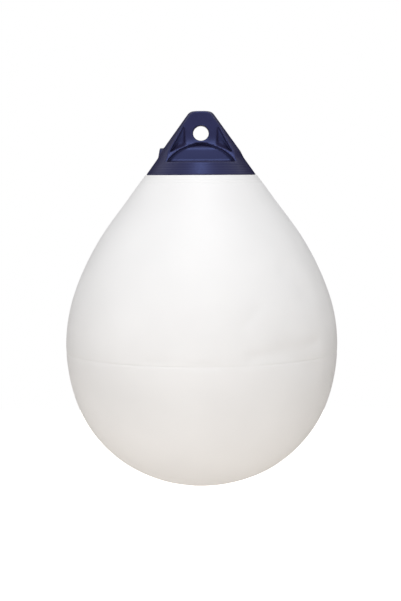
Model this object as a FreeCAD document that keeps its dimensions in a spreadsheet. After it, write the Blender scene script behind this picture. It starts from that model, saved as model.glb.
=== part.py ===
"""Inflatable ball fender: a white moulded ball with a solid blue rope hold and an air valve.

The frame has its origin at the centre of the rope eye, +Z up and the eye's bore along Y.
Millimetres throughout. Every size is a cell of the sheet called Sizes, and every sketch
and feature takes its sizes from those cells by expression.
"""
import FreeCAD
import Part
import math
import os

import Sketcher

V = FreeCAD.Vector
NEAR = 0.02

SIZES = {
    # ball, as it stands inflated
    "belly_radius": 216.5,
    "upper_belly_arc": 260.0,
    "upper_belly_span": 20.0,
    "shoulder_arc": 430.0,
    "cone_angle": 37.0,
    "lower_belly_arc": 270.0,
    "lower_belly_span": 17.0,
    "flank_arc": 206.0,
    "flank_span": 58.0,
    "skin": 3.2,
    "lip": 1.0,
    "seam_drop": 10.0,
    "seam_bead": 1.2,
    "seam_proud": 0.4,
    # rope hold, seen from the front
    "eye_radius": 12.4,
    "eye_floor": 2.8,
    "eye_roof": 22.6,
    "tab_half_width": 42.4,
    "tab_angle": 35.75,
    "tab_corner": 12.9,
    "foot_top": 28.0,
    "foot_height": 10.0,
    "ledge_drop": 45.0,
    "band_height": 20.4,
    "band_top_radius": 72.6,
    "band_base_radius": 87.2,
    "ring_wall": 11.2,
    "roof_plate": 8.0,
    # rope hold, seen from the side
    "face_top": 13.4,
    "face_tilt": 12.0,
    "wedge_at_eye": 23.4,
    "wedge_tilt": 24.9,
    "knee_round": 60.0,
    "flare_tilt": 34.0,
    "flare_meet": 34.0,
    "flare_radius": 41.0,
    "web_at_arch": 16.0,
    "web_tilt": 20.0,
    "web_cove": 9.0,
    "recess_at_eye": 17.0,
    "recess_tilt": 6.0,
    "recess_cove": 6.0,
    # cuts between the ribs
    "rib_line_at_eye": 32.7,
    "rib_line_slope": 0.545,
    "boss_half_width": 25.5,
    "scoop_top": 17.5,
    "arch_rise": 20.8,
    "arch_crown": 37.0,
    "haunch_x": 40.0,
    "haunch_round": 66.0,
    "arch_foot_x": 53.6,
    "rim_wall": 3.0,
    "recess_foot": 31.5,
    "recess_head": 2.5,
    # edges
    "eye_round": 1.5,
    "ridge_round": 1.2,
    "boss_round": 2.0,
    "band_round": 2.5,
    "base_round": 0.6,
    "bore_round": 0.8,
    # valve, on the left flank
    "valve_drop": 32.0,
    "valve_boss_radius": 8.5,
    "valve_stand": 1.13,
    "valve_face_lean": 10.6,
    "valve_bore_radius": 5.8,
    "valve_fit": 0.1,
    "insert_length": 17.0,
    "insert_inset": 1.5,
    "insert_pocket_radius": 4.6,
    "insert_pocket_depth": 5.2,
    "screw_radius": 2.5,
    "screw_length": 9.0,
    "screw_tip": 1.8,
    "screw_head_radius": 4.2,
    "screw_head_height": 2.8,
    "slot_width": 1.4,
    "slot_depth": 1.3,
    "seal_height": 1.4,
    "insert_edge": 0.4,
    "seal_edge": 0.5,
    "screw_head_edge": 0.5,
    "port_radius": 2.0,
    "bond_gap": 0.2,
}

SHEET = "Sizes"


class Size:
    """A length or angle that knows its value and the expression that gives it."""

    def __init__(self, value, text):
        self.value = float(value)
        self.text = text

    @staticmethod
    def of(other):
        return other if isinstance(other, Size) else Size(other, repr(float(other)))

    def __add__(self, other):
        other = Size.of(other)
        return Size(self.value + other.value, f"({self.text} + {other.text})")

    def __sub__(self, other):
        other = Size.of(other)
        return Size(self.value - other.value, f"({self.text} - {other.text})")

    def __mul__(self, other):
        other = Size.of(other)
        return Size(self.value * other.value, f"({self.text} * {other.text})")

    def __truediv__(self, other):
        other = Size.of(other)
        return Size(self.value / other.value, f"({self.text} / {other.text})")

    def __neg__(self):
        return Size(-self.value, f"(0 - {self.text})")


def angle_function(name, angle):
    angle = Size.of(angle)
    value = getattr(math, name)(math.radians(angle.value))
    return Size(value, f"{name}({angle.text} * 1 deg)")


def tan(angle):
    return angle_function("tan", angle)


def cos(angle):
    return angle_function("cos", angle)


def sin(angle):
    return angle_function("sin", angle)


doc = FreeCAD.newDocument("ball_fender")
sheet = doc.addObject("Spreadsheet::Sheet", SHEET)
for row, (alias, number) in enumerate(SIZES.items(), start=1):
    sheet.set(f"A{row}", alias)
    sheet.set(f"B{row}", str(number))
    sheet.setAlias(f"B{row}", alias)
doc.recompute()
s = type("Cells", (), {name: Size(value, f"{SHEET}.{name}") for name, value in SIZES.items()})

ZERO = Size(0, "0")


def sqrt(number):
    return Size(math.sqrt(number.value), f"sqrt({number.text})")


# Sketch and feature helpers

def new_body(name):
    body = doc.addObject("PartDesign::Body", name)
    body.Label = name
    return body


def origin_item(body, role):
    return next(item for item in body.Origin.OriginFeatures if item.Role == role)


def new_sketch(body, name, plane, offset=None):
    """A sketch on one of the body's own origin planes, moved along its normal by offset."""
    sketch = body.newObject("Sketcher::SketchObject", name)
    sketch.AttachmentSupport = [(origin_item(body, plane), "")]
    sketch.MapMode = "FlatFace"
    if offset is not None:
        sketch.AttachmentOffset = FreeCAD.Placement(V(0, 0, offset.value), FreeCAD.Rotation())
        sketch.setExpression("AttachmentOffset.Base.z", offset.text)
    return sketch


def bind(sketch, kind, *where, size):
    """Adds a dimension and ties it to the size's expression."""
    index = sketch.addConstraint(Sketcher.Constraint(kind, *where, size.value))
    sketch.setExpression(f"Constraints[{index}]", size.text)


def pin(sketch, geometry, end, x, y):
    """Holds a point of the sketch at x, y from its origin."""
    bind(sketch, "DistanceX", -1, 1, geometry, end, size=x)
    bind(sketch, "DistanceY", -1, 1, geometry, end, size=y)


def relate(sketch, kind, *where):
    sketch.addConstraint(Sketcher.Constraint(kind, *where))


def unit(start, end):
    step = end - start
    return step / step.Length


def draw_outline(sketch, corners):
    """A closed outline of straight lines; a corner is (x, y) or, where it is rounded, (x, y, radius)."""
    spots = [V(corner[0].value, corner[1].value, 0) for corner in corners]
    count = len(corners)
    entry = []
    leave = []
    for i, corner in enumerate(corners):
        if len(corner) == 2:
            entry.append(spots[i])
            leave.append(spots[i])
            continue
        back = unit(spots[i], spots[i - 1])
        ahead = unit(spots[i], spots[(i + 1) % count])
        reach = corner[2].value / math.tan(back.getAngle(ahead) / 2)
        entry.append(spots[i] + back * reach)
        leave.append(spots[i] + ahead * reach)
    sides = [
        sketch.addGeometry(Part.LineSegment(leave[i], entry[(i + 1) % count]), False)
        for i in range(count)
    ]
    for i, corner in enumerate(corners):
        before, after = sides[i - 1], sides[i]
        if len(corner) == 2:
            relate(sketch, "Coincident", before, 2, after, 1)
            pin(sketch, after, 1, corner[0], corner[1])
            continue
        mark = sketch.addGeometry(Part.Point(spots[i]), True)
        pin(sketch, mark, 1, corner[0], corner[1])
        relate(sketch, "PointOnObject", mark, 1, before)
        relate(sketch, "PointOnObject", mark, 1, after)
        round_corner(sketch, before, after, entry[i], leave[i], spots[i], corner[2])


def round_corner(sketch, before, after, entry, leave, corner, radius):
    """An arc tangent to both sides of a corner."""
    inward = unit(corner, (entry + leave) / 2)
    half_turn = unit(corner, entry).getAngle(inward)
    center = corner + inward * (radius.value / math.sin(half_turn))
    circle = Part.Circle(center, V(0, 0, 1), radius.value)
    left_turn = (corner - entry).cross(leave - corner).z > 0
    start, end = (entry, leave) if left_turn else (leave, entry)
    first = math.atan2(start.y - center.y, start.x - center.x)
    last = math.atan2(end.y - center.y, end.x - center.x)
    if last < first:
        last += 2 * math.pi
    arc = sketch.addGeometry(Part.ArcOfCircle(circle, first, last), False)
    entry_end, leave_end = (1, 2) if left_turn else (2, 1)
    relate(sketch, "Tangent", before, 2, arc, entry_end)
    relate(sketch, "Tangent", after, 1, arc, leave_end)
    bind(sketch, "Radius", arc, size=radius)


def draw_circle(sketch, x, y, radius):
    circle = sketch.addGeometry(Part.Circle(V(x.value, y.value, 0), V(0, 0, 1), radius.value), False)
    pin(sketch, circle, 3, x, y)
    bind(sketch, "Radius", circle, size=radius)


def mirrored(corners):
    """The outline's right-hand corners, from top to bottom, followed by their mirror images."""
    left = [(-corner[0],) + tuple(corner[1:]) for corner in reversed(corners) if corner[0].value]
    return list(corners) + left


def revolve(body, name, sketch, kind="PartDesign::Revolution"):
    feature = body.newObject(kind, name)
    feature.Profile = sketch
    feature.ReferenceAxis = (sketch, ["V_Axis"])
    feature.Angle = 360
    sketch.Visibility = False
    return feature


def pad(body, name, sketch, length, midplane=False, reversed_way=False):
    feature = body.newObject("PartDesign::Pad", name)
    feature.Profile = sketch
    feature.Length = length.value
    feature.setExpression("Length", length.text)
    feature.Midplane = midplane
    feature.Reversed = reversed_way
    sketch.Visibility = False
    return feature


def pocket(body, name, sketch, length=None, midplane=False):
    """Cuts through all, or to a length, against the sketch's normal."""
    feature = body.newObject("PartDesign::Pocket", name)
    feature.Profile = sketch
    if length is None:
        feature.Type = "ThroughAll"
    else:
        feature.Length = length.value
        feature.setExpression("Length", length.text)
    feature.Midplane = midplane
    sketch.Visibility = False
    return feature


def combine(body, name, tool, kind):
    feature = body.newObject("PartDesign::Boolean", name)
    feature.setObjects([tool])
    feature.Type = kind
    return feature


def edges_on(shape, front=None, side=None, turned=None, test=None):
    """Names the edges that lie on the outlines given, as seen from the front, the side and turned."""
    names = []
    for number, edge in enumerate(shape.Edges, start=1):
        first, last = edge.ParameterRange
        points = [edge.valueAt(first + (last - first) * share) for share in (0.06, 0.5, 0.94)]
        views = []
        for p in points:
            if front is not None:
                views.append((front, V(p.x, 0, p.z)))
            if side is not None:
                views.append((side, V(0, p.y, p.z)))
            if turned is not None:
                views.append((turned, V(math.hypot(p.x, p.y), 0, p.z)))
        if test is not None and not all(test(p) for p in points):
            continue
        if all(Part.Vertex(spot).distToShape(outline)[0] < NEAR for outline, spot in views):
            names.append(f"Edge{number}")
    return names


def round_edges(body, name, radius, **where):
    """Rounds every edge of the body so far that edges_on finds."""
    doc.recompute()
    base = body.Tip
    names = edges_on(base.Shape, **where)
    feature = body.newObject("PartDesign::Fillet", name)
    feature.Base = (base, names)
    feature.Radius = radius.value
    feature.setExpression("Radius", radius.text)
    base.Visibility = False
    return feature


# Heights and lines that several pieces share

join_z = -(s.ledge_drop + s.band_height)
ledge_z = -s.ledge_drop
tab_top = s.eye_radius + s.eye_roof
band_slope = (s.band_base_radius - s.band_top_radius) / s.band_height
ring_inner = s.band_base_radius - s.ring_wall
cavity_height = s.band_height - s.roof_plate
cavity_top_radius = ring_inner - band_slope * cavity_height
cavity_z = ledge_z - s.roof_plate
lip_radius = s.band_base_radius + s.lip
foot_z = -s.foot_top
foot_end_z = foot_z - s.foot_height
foot_x = s.tab_half_width + tan(s.tab_angle) * s.foot_top
foot_end_x = s.band_top_radius + band_slope * (ledge_z - foot_end_z)
valve_z = -s.valve_drop
valve_share = (foot_z - valve_z) / s.foot_height
valve_face_x = foot_x + (foot_end_x - foot_x) * valve_share + s.valve_stand
insert_top_x = valve_face_x - s.insert_inset
chamber_length = s.port_radius * 2 + 1
bore_end_x = insert_top_x - s.insert_length - chamber_length
port_x = bore_end_x + chamber_length / 2
beyond = s.band_base_radius * 2


def face_y(z):
    """Half thickness of the boss's flat face at a height."""
    return s.face_top + tan(s.face_tilt) * (tab_top - z)


def wedge_y(z):
    """Half thickness across the rib crests at a height."""
    return s.wedge_at_eye - tan(s.wedge_tilt) * z


def rib_line(z):
    """Inner edge of a rib at a height, seen from the front."""
    return s.rib_line_at_eye - s.rib_line_slope * z


# Ball

class BallSection:
    """The ball's section: cone, shoulder, belly, flank and crown arcs, tangent in turn."""

    def __init__(self):
        reach = s.upper_belly_arc - s.shoulder_arc
        shoulder_x = s.belly_radius - s.upper_belly_arc + cos(s.upper_belly_span) * reach
        rise = sin(s.upper_belly_span) * reach
        cone_foot_x = shoulder_x + cos(s.cone_angle) * s.shoulder_arc
        cone_height = (cone_foot_x - lip_radius) / tan(s.cone_angle)
        self.belly_z = join_z - rise - sin(s.cone_angle) * s.shoulder_arc - cone_height
        self.shoulder = (shoulder_x, self.belly_z + rise)
        lower_reach = s.lower_belly_arc - s.flank_arc
        lower_x = s.belly_radius - s.lower_belly_arc
        self.lower = (lower_x, self.belly_z)
        self.flank = (
            lower_x + cos(s.lower_belly_span) * lower_reach,
            self.belly_z - sin(s.lower_belly_span) * lower_reach,
        )
        self.flank_turn = s.lower_belly_span + s.flank_span
        self.crown_extra = self.flank[0] / cos(self.flank_turn)
        self.crown_z = self.flank[1] + sin(self.flank_turn) * self.crown_extra

    def draw(self, sketch, inset, top):
        """The closed half outline, inset from the outside; top runs from the axis to the cone."""
        shoulder_r = s.shoulder_arc - inset
        upper_r = s.upper_belly_arc - inset
        lower_r = s.lower_belly_arc - inset
        flank_r = s.flank_arc - inset
        crown_r = flank_r + self.crown_extra
        cone_foot = (
            self.shoulder[0] + cos(s.cone_angle) * shoulder_r,
            self.shoulder[1] + sin(s.cone_angle) * shoulder_r,
        )
        belly_x = s.belly_radius - inset
        lower_end = (
            self.lower[0] + cos(s.lower_belly_span) * lower_r,
            self.lower[1] - sin(s.lower_belly_span) * lower_r,
        )
        flank_end = (
            self.flank[0] + cos(self.flank_turn) * flank_r,
            self.flank[1] - sin(self.flank_turn) * flank_r,
        )
        bottom_z = self.crown_z - crown_r
        upper_x = s.belly_radius - s.upper_belly_arc
        points = top + [cone_foot]
        lines = []
        for start, end in zip(points, points[1:]):
            segment = Part.LineSegment(
                V(start[0].value, start[1].value, 0), V(end[0].value, end[1].value, 0)
            )
            lines.append(sketch.addGeometry(segment, False))
        for line, point in zip(lines, points):
            pin(sketch, line, 1, point[0], point[1])
        for line, following in zip(lines, lines[1:]):
            relate(sketch, "Coincident", line, 2, following, 1)
        pin(sketch, lines[-1], 2, cone_foot[0], cone_foot[1])

        arcs = []
        turn = -(s.lower_belly_span.value)
        full = -(self.flank_turn.value)
        for center, radius, low, high in (
            ((self.shoulder[0], self.shoulder[1]), shoulder_r, s.upper_belly_span.value, s.cone_angle.value),
            ((upper_x, self.belly_z), upper_r, 0, s.upper_belly_span.value),
            (self.lower, lower_r, turn, 0),
            (self.flank, flank_r, full, turn),
            ((ZERO, self.crown_z), crown_r, -90, full),
        ):
            circle = Part.Circle(V(center[0].value, center[1].value, 0), V(0, 0, 1), radius.value)
            arc = Part.ArcOfCircle(circle, math.radians(low), math.radians(high))
            arcs.append(sketch.addGeometry(arc, False))
        shoulder, upper, lower, flank, crown = arcs
        relate(sketch, "Tangent", lines[-1], 2, shoulder, 2)
        relate(sketch, "Tangent", shoulder, 1, upper, 2)
        relate(sketch, "Tangent", upper, 1, lower, 2)
        relate(sketch, "Tangent", lower, 1, flank, 2)
        relate(sketch, "Tangent", flank, 1, crown, 2)
        bind(sketch, "Radius", shoulder, size=shoulder_r)
        bind(sketch, "Radius", upper, size=upper_r)
        bind(sketch, "Radius", lower, size=lower_r)
        bind(sketch, "Radius", flank, size=flank_r)
        bind(sketch, "DistanceX", -1, 1, upper, 1, size=belly_x)
        bind(sketch, "DistanceY", -1, 1, upper, 1, size=self.belly_z)
        bind(sketch, "DistanceY", -1, 1, lower, 1, size=lower_end[1])
        bind(sketch, "DistanceX", -1, 1, flank, 1, size=flank_end[0])
        relate(sketch, "PointOnObject", crown, 3, -2)
        relate(sketch, "PointOnObject", crown, 1, -2)
        axis = sketch.addGeometry(
            Part.LineSegment(V(0, bottom_z.value, 0), V(0, top[0][1].value, 0)), False
        )
        relate(sketch, "Coincident", crown, 1, axis, 1)
        relate(sketch, "Coincident", axis, 2, lines[0], 1)

    def seam_center(self):
        """Centre of the parting bead's round section, sunk into the skin."""
        sunk = s.lower_belly_arc - s.seam_bead + s.seam_proud
        drop = s.seam_drop / s.lower_belly_arc
        return self.lower[0] + sqrt(Size(1, "1") - drop * drop) * sunk, self.belly_z - drop * sunk


def make_ball():
    """One closed skin, with a raised top that plugs into the rope hold and carries the air port."""
    section = BallSection()
    body = new_body("ball_body")
    neck_z = cavity_z - s.bond_gap
    neck_base = ring_inner - s.bond_gap
    neck_top = cavity_top_radius - s.bond_gap
    outer = new_sketch(body, "BallOutside", "XZ_Plane")
    section.draw(outer, ZERO, [
        (ZERO, neck_z), (neck_top, neck_z), (neck_base, join_z), (lip_radius, join_z),
    ])
    revolve(body, "BallSkin", outer)
    inner = new_sketch(body, "BallInside", "XZ_Plane")
    under = join_z - s.skin
    inner_lip = lip_radius + tan(s.cone_angle) * s.skin - s.skin / cos(s.cone_angle)
    section.draw(inner, s.skin, [
        (ZERO, neck_z - s.skin), (neck_top - s.skin, neck_z - s.skin),
        (neck_base - s.skin, under), (inner_lip, under),
    ])
    revolve(body, "BallCavity", inner, "PartDesign::Groove")
    bead = new_sketch(body, "PartingBead", "XZ_Plane")
    x, z = section.seam_center()
    draw_circle(bead, x, z, s.seam_bead)
    revolve(body, "PartingLine", bead)
    port = new_sketch(body, "PortCircle", "XY_Plane")
    draw_circle(port, -port_x, ZERO, s.port_radius)
    pocket(body, "AirPort", port, length=s.skin - neck_z + 1)
    return body


# Rope hold

def make_cutter(name, draw_front, draw_core):
    """A block cut in from both faces: a front outline, less the core that stays between them."""
    body = new_body(name)
    front = new_sketch(body, name + "Front", "XZ_Plane")
    draw_front(front)
    pad(body, name + "Block", front, beyond, midplane=True)
    core = new_sketch(body, name + "Core", "YZ_Plane")
    draw_core(core)
    pocket(body, name + "Kept", core, midplane=True)
    return body, front, core


def make_rope_hold():
    """A turned block, wedge-shaped from the side, scooped between its ribs, with the eye through it."""
    body = new_body("rope_hold")
    band = new_sketch(body, "BandOutline", "XZ_Plane")
    draw_outline(band, [
        (ZERO, ledge_z),
        (ZERO, cavity_z),
        (cavity_top_radius, cavity_z),
        (ring_inner, join_z),
        (s.band_base_radius, join_z),
        (s.band_top_radius, ledge_z, s.band_round),
    ])
    revolve(body, "Band", band)

    upper = new_body("UpperBlock")
    outline = new_sketch(upper, "TurnedOutline", "XZ_Plane")
    root_z = ledge_z - s.band_round * 2
    flank_top_x = s.tab_half_width - tan(s.tab_angle) * tab_top
    draw_outline(outline, [
        (ZERO, tab_top),
        (ZERO, root_z),
        (s.band_top_radius + band_slope * (ledge_z - root_z), root_z),
        (foot_end_x, foot_end_z),
        (foot_x, foot_z),
        (flank_top_x, tab_top, s.tab_corner),
    ])
    revolve(upper, "TurnedBlock", outline)

    envelope = new_body("SideEnvelope")
    side = new_sketch(envelope, "SideOutline", "YZ_Plane")
    meet_z = -s.flare_meet
    meet_y = wedge_y(meet_z)
    foot_y = meet_y + tan(s.flare_tilt) * (meet_z - ledge_z)
    knee = (face_y(ZERO) - s.wedge_at_eye) / (tan(s.face_tilt) - tan(s.wedge_tilt))
    draw_outline(side, mirrored([
        (s.face_top, tab_top),
        (wedge_y(knee), knee, s.knee_round),
        (meet_y, meet_z),
        (foot_y, ledge_z),
        (foot_y, root_z),
    ]))
    pad(envelope, "SideBlock", side, beyond * 2, midplane=True)
    combine(upper, "WedgeFaces", envelope, "Common")
    doc.recompute()
    round_edges(upper, "RidgeRounds", s.ridge_round, turned=outline.Shape, side=side.Shape,
                test=lambda p: p.z > ledge_z.value + NEAR)
    combine(body, "BandAndBlock", upper, "Fuse")
    doc.recompute()

    flare_z = (meet_y + tan(s.flare_tilt) * meet_z - face_y(ZERO)) / (tan(s.flare_tilt) - tan(s.face_tilt))

    def scoop_front(sketch):
        draw_outline(sketch, mirrored([(rib_line(s.scoop_top), s.scoop_top), (rib_line(meet_z), meet_z)]))

    def scoop_core(sketch):
        draw_outline(sketch, mirrored([
            (s.face_top, tab_top),
            (face_y(flare_z), flare_z, s.flare_radius),
            (meet_y, meet_z),
        ]))

    scoop, _, face_lines = make_cutter("Scoop", scoop_front, scoop_core)
    combine(body, "ScoopCut", scoop, "Cut")
    doc.recompute()

    crown_z = -(s.eye_radius + s.eye_floor)
    peak_z = crown_z + s.arch_crown * (Size(1, "1") / cos(s.arch_rise) - 1)
    haunch_z = peak_z - tan(s.arch_rise) * s.haunch_x

    def arch_front(sketch):
        draw_outline(sketch, [
            (ZERO, peak_z, s.arch_crown),
            (s.haunch_x, haunch_z, s.haunch_round),
            (s.arch_foot_x, ledge_z),
            (-s.arch_foot_x, ledge_z),
            (-s.haunch_x, haunch_z, s.haunch_round),
        ])

    def web_core(sketch):
        web_foot = s.web_at_arch + tan(s.web_tilt) * (crown_z - ledge_z)
        web_head = s.web_at_arch + tan(s.web_tilt) * crown_z
        draw_outline(sketch, mirrored([
            (web_head, ZERO),
            (web_foot, ledge_z, s.web_cove),
            (beyond, ledge_z),
            (beyond, ledge_z - 1),
        ]))

    arch, _, _ = make_cutter("Arch", arch_front, web_core)
    combine(body, "ArchCut", arch, "Cut")
    doc.recompute()

    def recess_front(sketch):
        rim = s.rim_wall / cos(s.arch_rise)
        head_z = (s.rib_line_at_eye - s.boss_half_width - s.recess_head) / s.rib_line_slope
        foot = (rib_line(-s.recess_foot), -s.recess_foot)
        right = [
            (s.boss_half_width + s.recess_head, head_z),
            (s.boss_half_width, head_z),
            (s.boss_half_width, peak_z - tan(s.arch_rise) * s.boss_half_width + rim),
            (s.haunch_x, haunch_z + rim),
            foot,
        ]
        draw_outline(sketch, right)
        draw_outline(sketch, [(-corner[0], corner[1]) for corner in reversed(right)])

    def recess_core(sketch):
        draw_outline(sketch, mirrored([
            (s.recess_at_eye - tan(s.recess_tilt) * tab_top, tab_top),
            (s.recess_at_eye - tan(s.recess_tilt) * ledge_z, ledge_z),
        ]))

    recess, recess_lines, floor_lines = make_cutter("Recess", recess_front, recess_core)
    combine(body, "RecessCut", recess, "Cut")
    doc.recompute()

    eye = new_sketch(body, "EyeCircle", "XZ_Plane")
    draw_circle(eye, ZERO, ZERO, s.eye_radius)
    pocket(body, "RopeEye", eye, midplane=True)

    floor_y = floor_lines.Shape
    round_edges(body, "RecessCoves", s.recess_cove, front=recess_lines.Shape, side=floor_y,
                test=on_lower_wall)
    round_edges(body, "BossRounds", s.boss_round, front=recess_lines.Shape, side=face_lines.Shape)
    round_edges(body, "EyeRounds", s.eye_round, test=on_eye)
    add_valve_seat(body)
    round_edges(body, "BoreMouth", s.bore_round, test=on_bore_mouth)
    round_edges(body, "BaseRounds", s.base_round, test=lambda p: abs(p.z - join_z.value) < NEAR)
    doc.recompute()
    return body


def on_eye(point):
    return abs(math.hypot(point.x, point.z) - s.eye_radius.value) < NEAR


def on_bore_mouth(point):
    off_axis = math.hypot(point.y, point.z - valve_z.value)
    return abs(off_axis - s.valve_bore_radius.value) < NEAR and point.x < -insert_top_x.value + s.bore_round.value


def on_lower_wall(point):
    """True for points of the recess outline that lie on its lower wall, off the boss and the rib."""
    off_boss = abs(point.x) > s.boss_half_width.value + NEAR
    off_rib = abs(point.x) < rib_line(Size.of(point.z)).value - NEAR
    return off_boss and off_rib and point.z < 0


def add_valve_seat(body):
    """The valve's boss on the left flank, its leaning face, its bore and the port to the ball."""
    boss = new_sketch(body, "ValveBossCircle", "YZ_Plane")
    draw_circle(boss, ZERO, valve_z, s.valve_boss_radius)
    pad(body, "ValveBoss", boss, valve_face_x + s.valve_boss_radius, reversed_way=True)

    spotface = new_body("ValveSpotface")
    disc = new_sketch(spotface, "SpotfaceCircle", "YZ_Plane")
    draw_circle(disc, ZERO, valve_z, s.valve_boss_radius)
    pad(spotface, "SpotfaceDisc", disc, beyond, reversed_way=True)
    lean = tan(s.valve_face_lean)
    top_z = valve_z + s.valve_boss_radius * 2
    low_z = valve_z - s.valve_boss_radius * 2
    behind = new_sketch(spotface, "BehindFace", "XZ_Plane")
    draw_outline(behind, [
        (ZERO, top_z),
        (-(valve_face_x + lean * (valve_z - top_z)), top_z),
        (-(valve_face_x + lean * (valve_z - low_z)), low_z),
        (ZERO, low_z),
    ])
    pocket(spotface, "FaceKept", behind, midplane=True)
    combine(body, "ValveFace", spotface, "Cut")

    bore = new_sketch(body, "ValveBoreCircle", "YZ_Plane", offset=-bore_end_x)
    draw_circle(bore, ZERO, valve_z, s.valve_bore_radius)
    pocket(body, "ValveBore", bore)
    port = new_sketch(body, "AirPortCircle", "XY_Plane", offset=valve_z)
    draw_circle(port, -port_x, ZERO, s.port_radius)
    pocket(body, "AirPortDown", port)


# Valve, each piece along its own axis with +Z outwards and the insert's outer end at zero

def seat_on_flank(body):
    """Turns a valve piece to point out of the left flank and moves it to the valve's place."""
    body.Placement = FreeCAD.Placement(
        V(-insert_top_x.value, 0, valve_z.value), FreeCAD.Rotation(V(0, 1, 0), -90)
    )
    body.setExpression("Placement.Base.x", (-insert_top_x).text)
    body.setExpression("Placement.Base.z", valve_z.text)


def make_valve_insert():
    """A hard bush with a pocket for the screw's head and a hole for its thread."""
    body = new_body("valve_insert")
    outline = new_sketch(body, "InsertOutline", "XZ_Plane")
    outside = s.valve_bore_radius - s.valve_fit
    hole = s.screw_radius + s.valve_fit
    draw_outline(outline, [
        (s.insert_pocket_radius, ZERO),
        (s.insert_pocket_radius, -s.insert_pocket_depth),
        (hole, -s.insert_pocket_depth),
        (hole, -s.insert_length),
        (outside - s.insert_edge, -s.insert_length),
        (outside, s.insert_edge - s.insert_length),
        (outside, -s.insert_edge),
        (outside - s.insert_edge, ZERO),
    ])
    revolve(body, "InsertBush", outline)
    seat_on_flank(body)
    return body


def make_valve_seal():
    """A rubber washer on the floor of the insert's pocket."""
    body = new_body("valve_seal")
    outline = new_sketch(body, "SealOutline", "XZ_Plane")
    floor = -s.insert_pocket_depth
    top = floor + s.seal_height
    hole = s.screw_radius + s.valve_fit
    draw_outline(outline, [
        (hole, floor),
        (s.screw_head_radius, floor, s.seal_edge),
        (s.screw_head_radius, top, s.seal_edge),
        (hole, top),
    ])
    revolve(body, "SealRing", outline)
    seat_on_flank(body)
    return body


def make_valve_screw():
    """A slotted screw with a conical tip; its head presses the seal."""
    body = new_body("valve_screw")
    outline = new_sketch(body, "ScrewOutline", "XZ_Plane")
    head_base = s.seal_height - s.insert_pocket_depth
    head_top = head_base + s.screw_head_height
    shank_end = head_base - s.screw_length
    draw_outline(outline, [
        (ZERO, shank_end - s.screw_tip),
        (s.screw_radius, shank_end),
        (s.screw_radius, head_base),
        (s.screw_head_radius, head_base),
        (s.screw_head_radius, head_top, s.screw_head_edge),
        (ZERO, head_top),
    ])
    revolve(body, "ScrewBlank", outline)
    slot = new_sketch(body, "SlotOutline", "XY_Plane", offset=head_top)
    half = s.slot_width / 2
    reach = s.screw_head_radius + 1
    draw_outline(slot, [(-reach, -half), (reach, -half), (reach, half), (-reach, half)])
    pocket(body, "Slot", slot, length=s.slot_depth)
    seat_on_flank(body)
    return body


parts = [make_ball(), make_rope_hold(), make_valve_insert(), make_valve_seal(), make_valve_screw()]
doc.recompute()

for item in doc.Objects:
    faults = [state for state in item.State if state in ("Invalid", "Error")]
    if faults:
        raise RuntimeError(f"{item.Label} failed: {faults} {item.getStatusString()}")
for item in parts:
    if not item.Shape.isValid():
        raise RuntimeError(f"{item.Label} isn't a valid solid")
    print(item.Label, item.Shape.isValid(), len(item.Shape.Solids), round(item.Shape.Volume), item.Shape.BoundBox)

os.makedirs("parts", exist_ok=True)
for item in parts:
    item.Shape.exportStep(f"parts/{item.Label}.step")
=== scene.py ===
"""Dresses the ball fender: a white moulded ball, its navy moulded rope hold and the air valve.

Everything is in metres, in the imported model's own frame: the origin at the centre of the rope
eye, +Z up and the eye's bore along Y. The classes hold their sizes in millimetres.
"""

import logging
import math
from dataclasses import dataclass, field
from enum import Enum
from typing import Callable, Sequence

import bpy
from mathutils import Matrix, Vector


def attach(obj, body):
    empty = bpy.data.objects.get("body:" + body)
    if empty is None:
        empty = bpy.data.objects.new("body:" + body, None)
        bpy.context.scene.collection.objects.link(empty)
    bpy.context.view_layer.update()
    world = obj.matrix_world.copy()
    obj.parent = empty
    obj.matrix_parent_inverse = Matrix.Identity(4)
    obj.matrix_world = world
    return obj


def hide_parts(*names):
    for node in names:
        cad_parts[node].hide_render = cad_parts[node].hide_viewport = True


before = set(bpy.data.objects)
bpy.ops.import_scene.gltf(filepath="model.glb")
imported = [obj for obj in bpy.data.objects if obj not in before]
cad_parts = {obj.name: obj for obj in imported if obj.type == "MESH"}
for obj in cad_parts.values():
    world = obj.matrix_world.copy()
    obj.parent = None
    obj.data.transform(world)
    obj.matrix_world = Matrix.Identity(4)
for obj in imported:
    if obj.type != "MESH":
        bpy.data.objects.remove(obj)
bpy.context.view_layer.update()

log = logging.getLogger("ball_fender")

MM = 0.001
DOUBLES = 0.002 * MM
LEAST_ARC_STEPS = 3
EVEN_SMOOTHING = 0.5
SHARE_GROUP = "share"

Point = tuple[float, float]
Corner = tuple[float, ...]
Place = Callable[[Vector], bool]
Share = Callable[[Vector], float]


class Plane(Enum):
    """The plane that an outline is drawn in."""

    FRONT = "x and z"
    SIDE = "y and z"

    def at(self, across: float, up: float) -> Vector:
        """The point of the plane, in metres.

        Args:
            across: Its place across the plane in millimetres.
            up: Its height in millimetres.

        Returns:
            The point.
        """
        if self is Plane.FRONT:
            return Vector((across, 0, up)) * MM
        return Vector((0, across, up)) * MM

    def clockwise_axis(self) -> Vector:
        """The axis about which a positive spin runs clockwise, as the outline is seen."""
        return Vector((0, -1, 0)) if self is Plane.FRONT else Vector((1, 0, 0))

    def depth(self) -> Vector:
        """The unit vector across the plane."""
        return Vector((0, 1, 0)) if self is Plane.FRONT else Vector((1, 0, 0))


class Cut(Enum):
    """How a tool works on a body."""

    KEEP_COMMON = "INTERSECT"
    ADD = "UNION"
    TAKE_AWAY = "DIFFERENCE"


# Modelling steps


def object_mode() -> None:
    """Leaves edit mode if an object is in it."""
    if bpy.context.object and bpy.context.object.mode != "OBJECT":
        bpy.ops.object.mode_set(mode="OBJECT")


def clear_selection() -> None:
    """Leaves edit mode and selects nothing."""
    object_mode()
    bpy.ops.object.select_all(action="DESELECT")


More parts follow.
